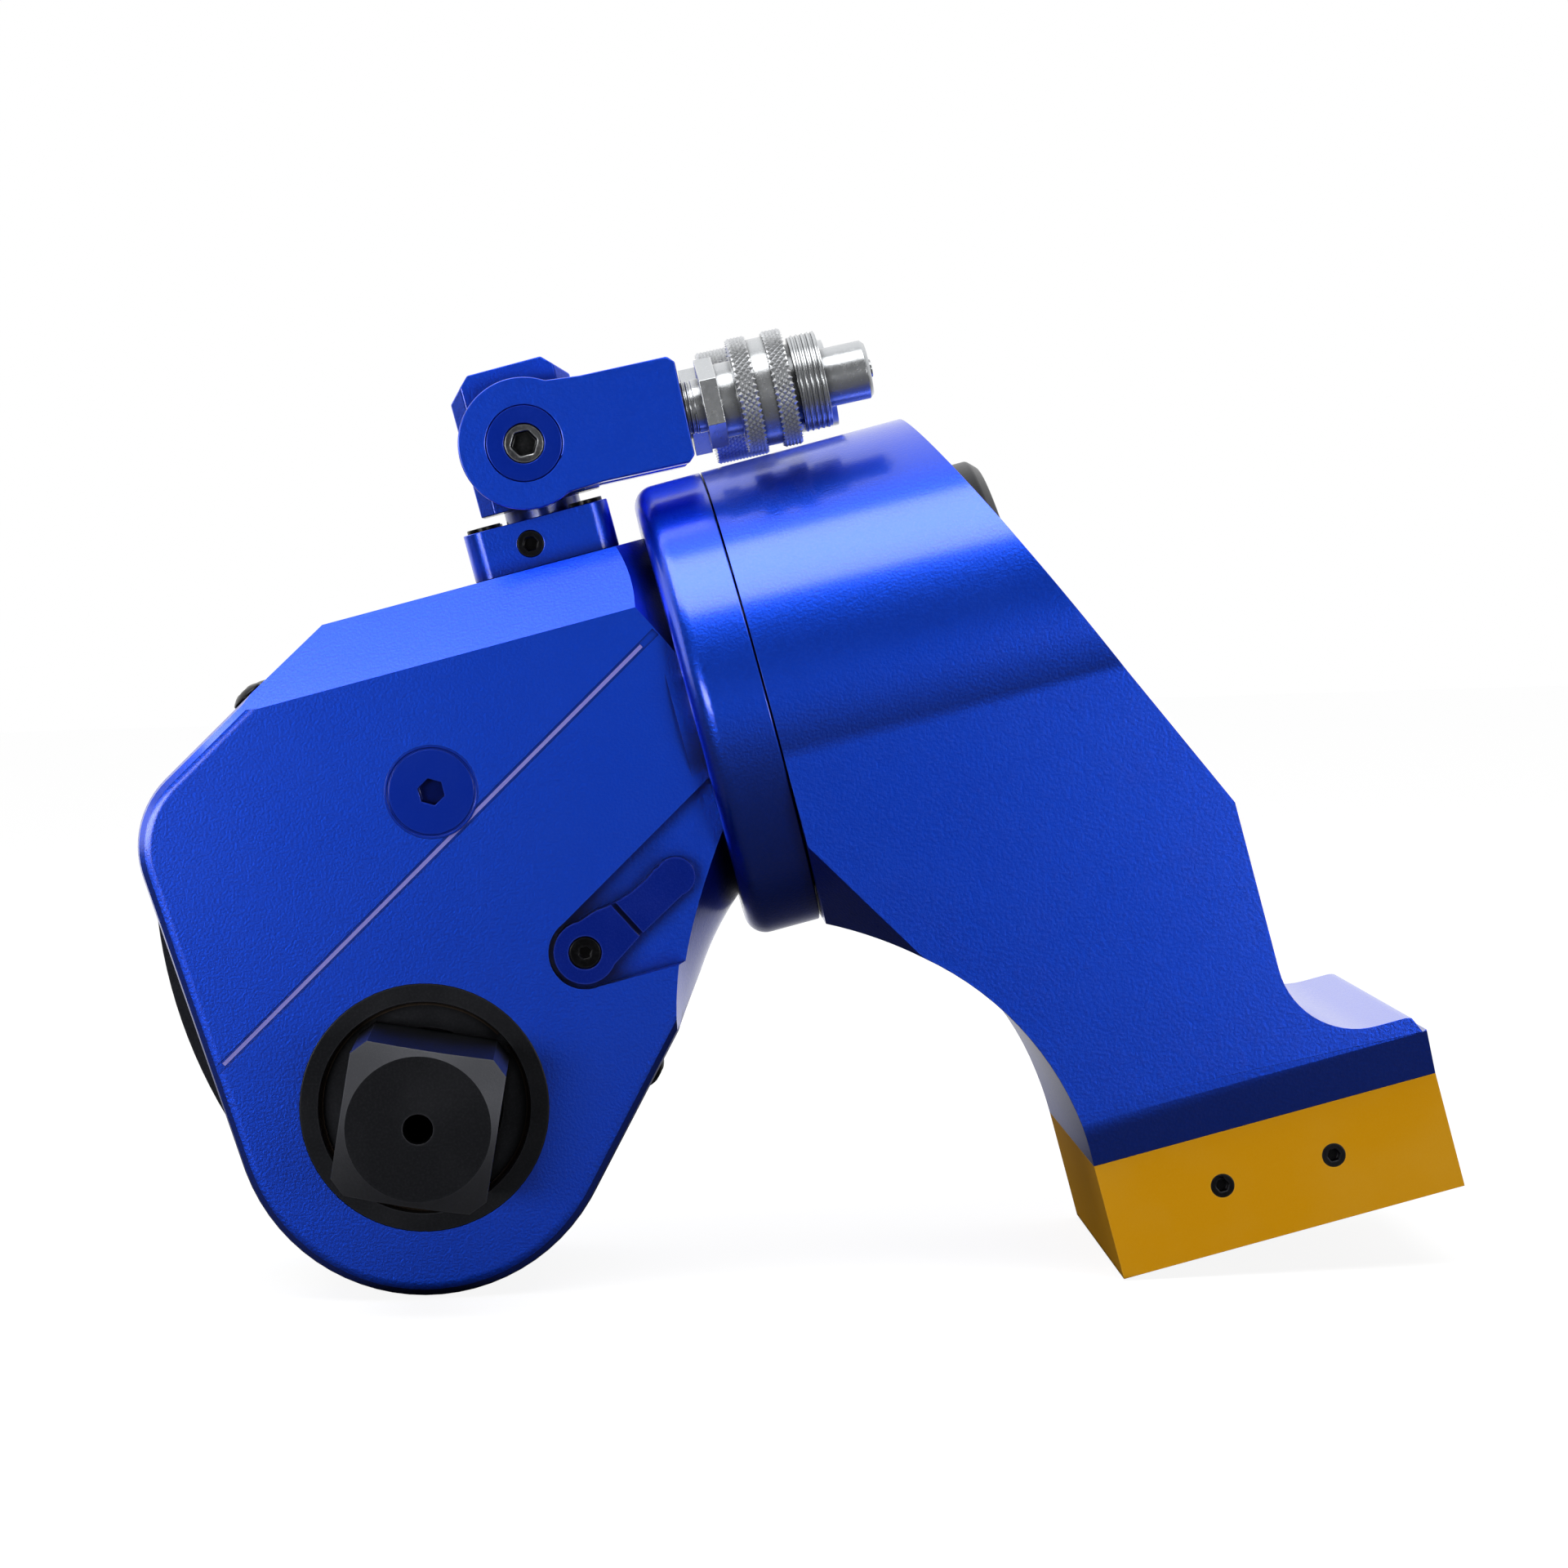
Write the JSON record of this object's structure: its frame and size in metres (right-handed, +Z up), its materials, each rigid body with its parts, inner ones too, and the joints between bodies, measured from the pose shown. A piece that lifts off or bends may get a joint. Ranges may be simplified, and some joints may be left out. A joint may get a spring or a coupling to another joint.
{
  "type": "hydraulic torque wrench",
  "caption": "Square-drive hydraulic torque wrench with a ratchet head, swivel hydraulic couplings and a splined reaction arm with a padded foot.",
  "frame": {"origin": "on the drive axis, at the head's drive-side face", "axes": "-Y out along the square drive, +X along the bench from the head to the foot, +Z up"},
  "size_m": [0.3299, 0.147, 0.2408],
  "materials": {
    "blue_anodised": "royal blue anodised, satin",
    "blue_plugs": "royal blue anodised, turned",
    "black_steel": "black oxide, oiled",
    "black_screws": "black oxide screw",
    "zinc_steel": "bright zinc plate, turned",
    "spring_steel": "tempered spring steel",
    "inner_steel": "ground, oiled",
    "seal_rubber": "moulded",
    "yellow_paint": "golden yellow paint, satin"
  },
  "bodies": {
    "body": {"housing": "blue_anodised", "shroud": "black_steel", "shroud_screws": "black_screws", "front_bush": "black_steel", "rear_bush": "black_steel", "retaining_rings": "spring_steel", "access_plug": "blue_anodised", "collar": "blue_anodised", "end_cap": "black_steel", "cap_seal": "seal_rubber", "rod_seal": "seal_rubber", "swivel_base": "blue_anodised", "base_screws": "black_screws", "base_set_screw": "black_screws"},
    "piston_unit": {"piston": "inner_steel", "piston_seal": "seal_rubber", "piston_rod": "inner_steel", "rod_pin": "inner_steel"},
    "crank": {"drive_plates": "inner_steel", "plate_spacers": "inner_steel", "drive_pawl": "inner_steel"},
    "drive": {"ratchet": "inner_steel", "square_drive": "black_steel", "drive_retainer": "black_steel"},
    "button": {"retainer_button": "inner_steel"},
    "pawl": {"reaction_pawl": "inner_steel", "pawl_shaft": "inner_steel", "release_lever": "blue_anodised", "lever_screw": "black_screws"},
    "swivel": {"swivel_head": "blue_anodised", "cross_axle": "inner_steel"},
    "front_swivel_arm": {"front_arm": "blue_anodised", "front_axle_plug": "blue_plugs", "front_axle_screw": "zinc_steel", "male_coupler": "zinc_steel"},
    "front_sleeve": {"male_sleeve": "zinc_steel"},
    "front_valve": {"male_poppet": "zinc_steel"},
    "rear_swivel_arm": {"rear_arm": "blue_anodised", "rear_axle_plug": "blue_plugs", "rear_axle_screw": "zinc_steel", "female_coupler": "zinc_steel"},
    "rear_sleeve": {"female_sleeve": "zinc_steel"},
    "rear_valve": {"female_poppet": "zinc_steel"},
    "arm": {"reaction_arm": "blue_anodised", "reaction_pad": "yellow_paint", "pad_screws": "black_screws"}
  },
  "joints": [
    {"name": "drive_turn", "type": "hinge", "parent": "body", "child": "drive", "pos_m": [0, 0.045, 0], "axis": [0, -1, 0], "range_deg": [0, 32.98]},
    {"name": "crank_swing", "type": "hinge", "parent": "body", "child": "crank", "pos_m": [0, 0.045, 0], "axis": [0, -1, 0], "range_deg": [0, 32.99]},
    {"name": "piston_stroke", "type": "slide", "parent": "body", "child": "piston_unit", "axis": [-0.9728, 0, -0.2317], "range_m": [0, 0.04501]},
    {"name": "retainer_release", "type": "slide", "parent": "drive", "child": "button", "axis": [0, -1, 0], "range_m": [0, 0.003], "stiffness_N_per_m": 400},
    {"name": "pawl_release", "type": "hinge", "parent": "body", "child": "pawl", "pos_m": [0.04141, 0.045, 0.03762], "axis": [0, 1, 0], "range_deg": [0, 12], "stiffness_Nm_per_rad": 0.8, "springref_deg": -17.19},
    {"name": "swivel_turn", "type": "hinge", "parent": "body", "child": "swivel", "pos_m": [0.03709, 0.045, 0.13559], "axis": [-0.2317, 0, 0.9728], "continuous": true},
    {"name": "front_arm_lift", "type": "hinge", "parent": "swivel", "child": "front_swivel_arm", "pos_m": [0.02993, 0.045, 0.16564], "axis": [0, -1, 0], "range_deg": [0, 180]},
    {"name": "rear_arm_lift", "type": "hinge", "parent": "swivel", "child": "rear_swivel_arm", "pos_m": [0.02993, 0.045, 0.16564], "axis": [0, -1, 0], "range_deg": [0, 180]},
    {"name": "male_sleeve_turn", "type": "hinge", "parent": "front_swivel_arm", "child": "front_sleeve", "pos_m": [0.09034, 0.02095, 0.17717], "axis": [0.9823, 0, 0.1874], "continuous": true},
    {"name": "female_sleeve_turn", "type": "hinge", "parent": "rear_swivel_arm", "child": "rear_sleeve", "pos_m": [0.09034, 0.06905, 0.17717], "axis": [0.9823, 0, 0.1874], "continuous": true},
    {"name": "male_valve_push", "type": "slide", "parent": "front_swivel_arm", "child": "front_valve", "axis": [-0.9823, 0, -0.1874], "range_m": [0, 0.003], "stiffness_N_per_m": 300},
    {"name": "female_valve_push", "type": "slide", "parent": "rear_swivel_arm", "child": "rear_valve", "axis": [-0.9823, 0, -0.1874], "range_m": [0, 0.003], "stiffness_N_per_m": 300},
    {"name": "arm_slide", "type": "slide", "parent": "body", "child": "arm", "axis": [0.9728, 0, 0.2317], "range_m": [0, 0.05]}
  ],
  "couplings": [
    {"joint": "crank_swing", "follows": "drive_turn", "ratio": 1},
    {"joint": "piston_stroke", "follows": "drive_turn", "m_per_rad": 0.078171}
  ]
}
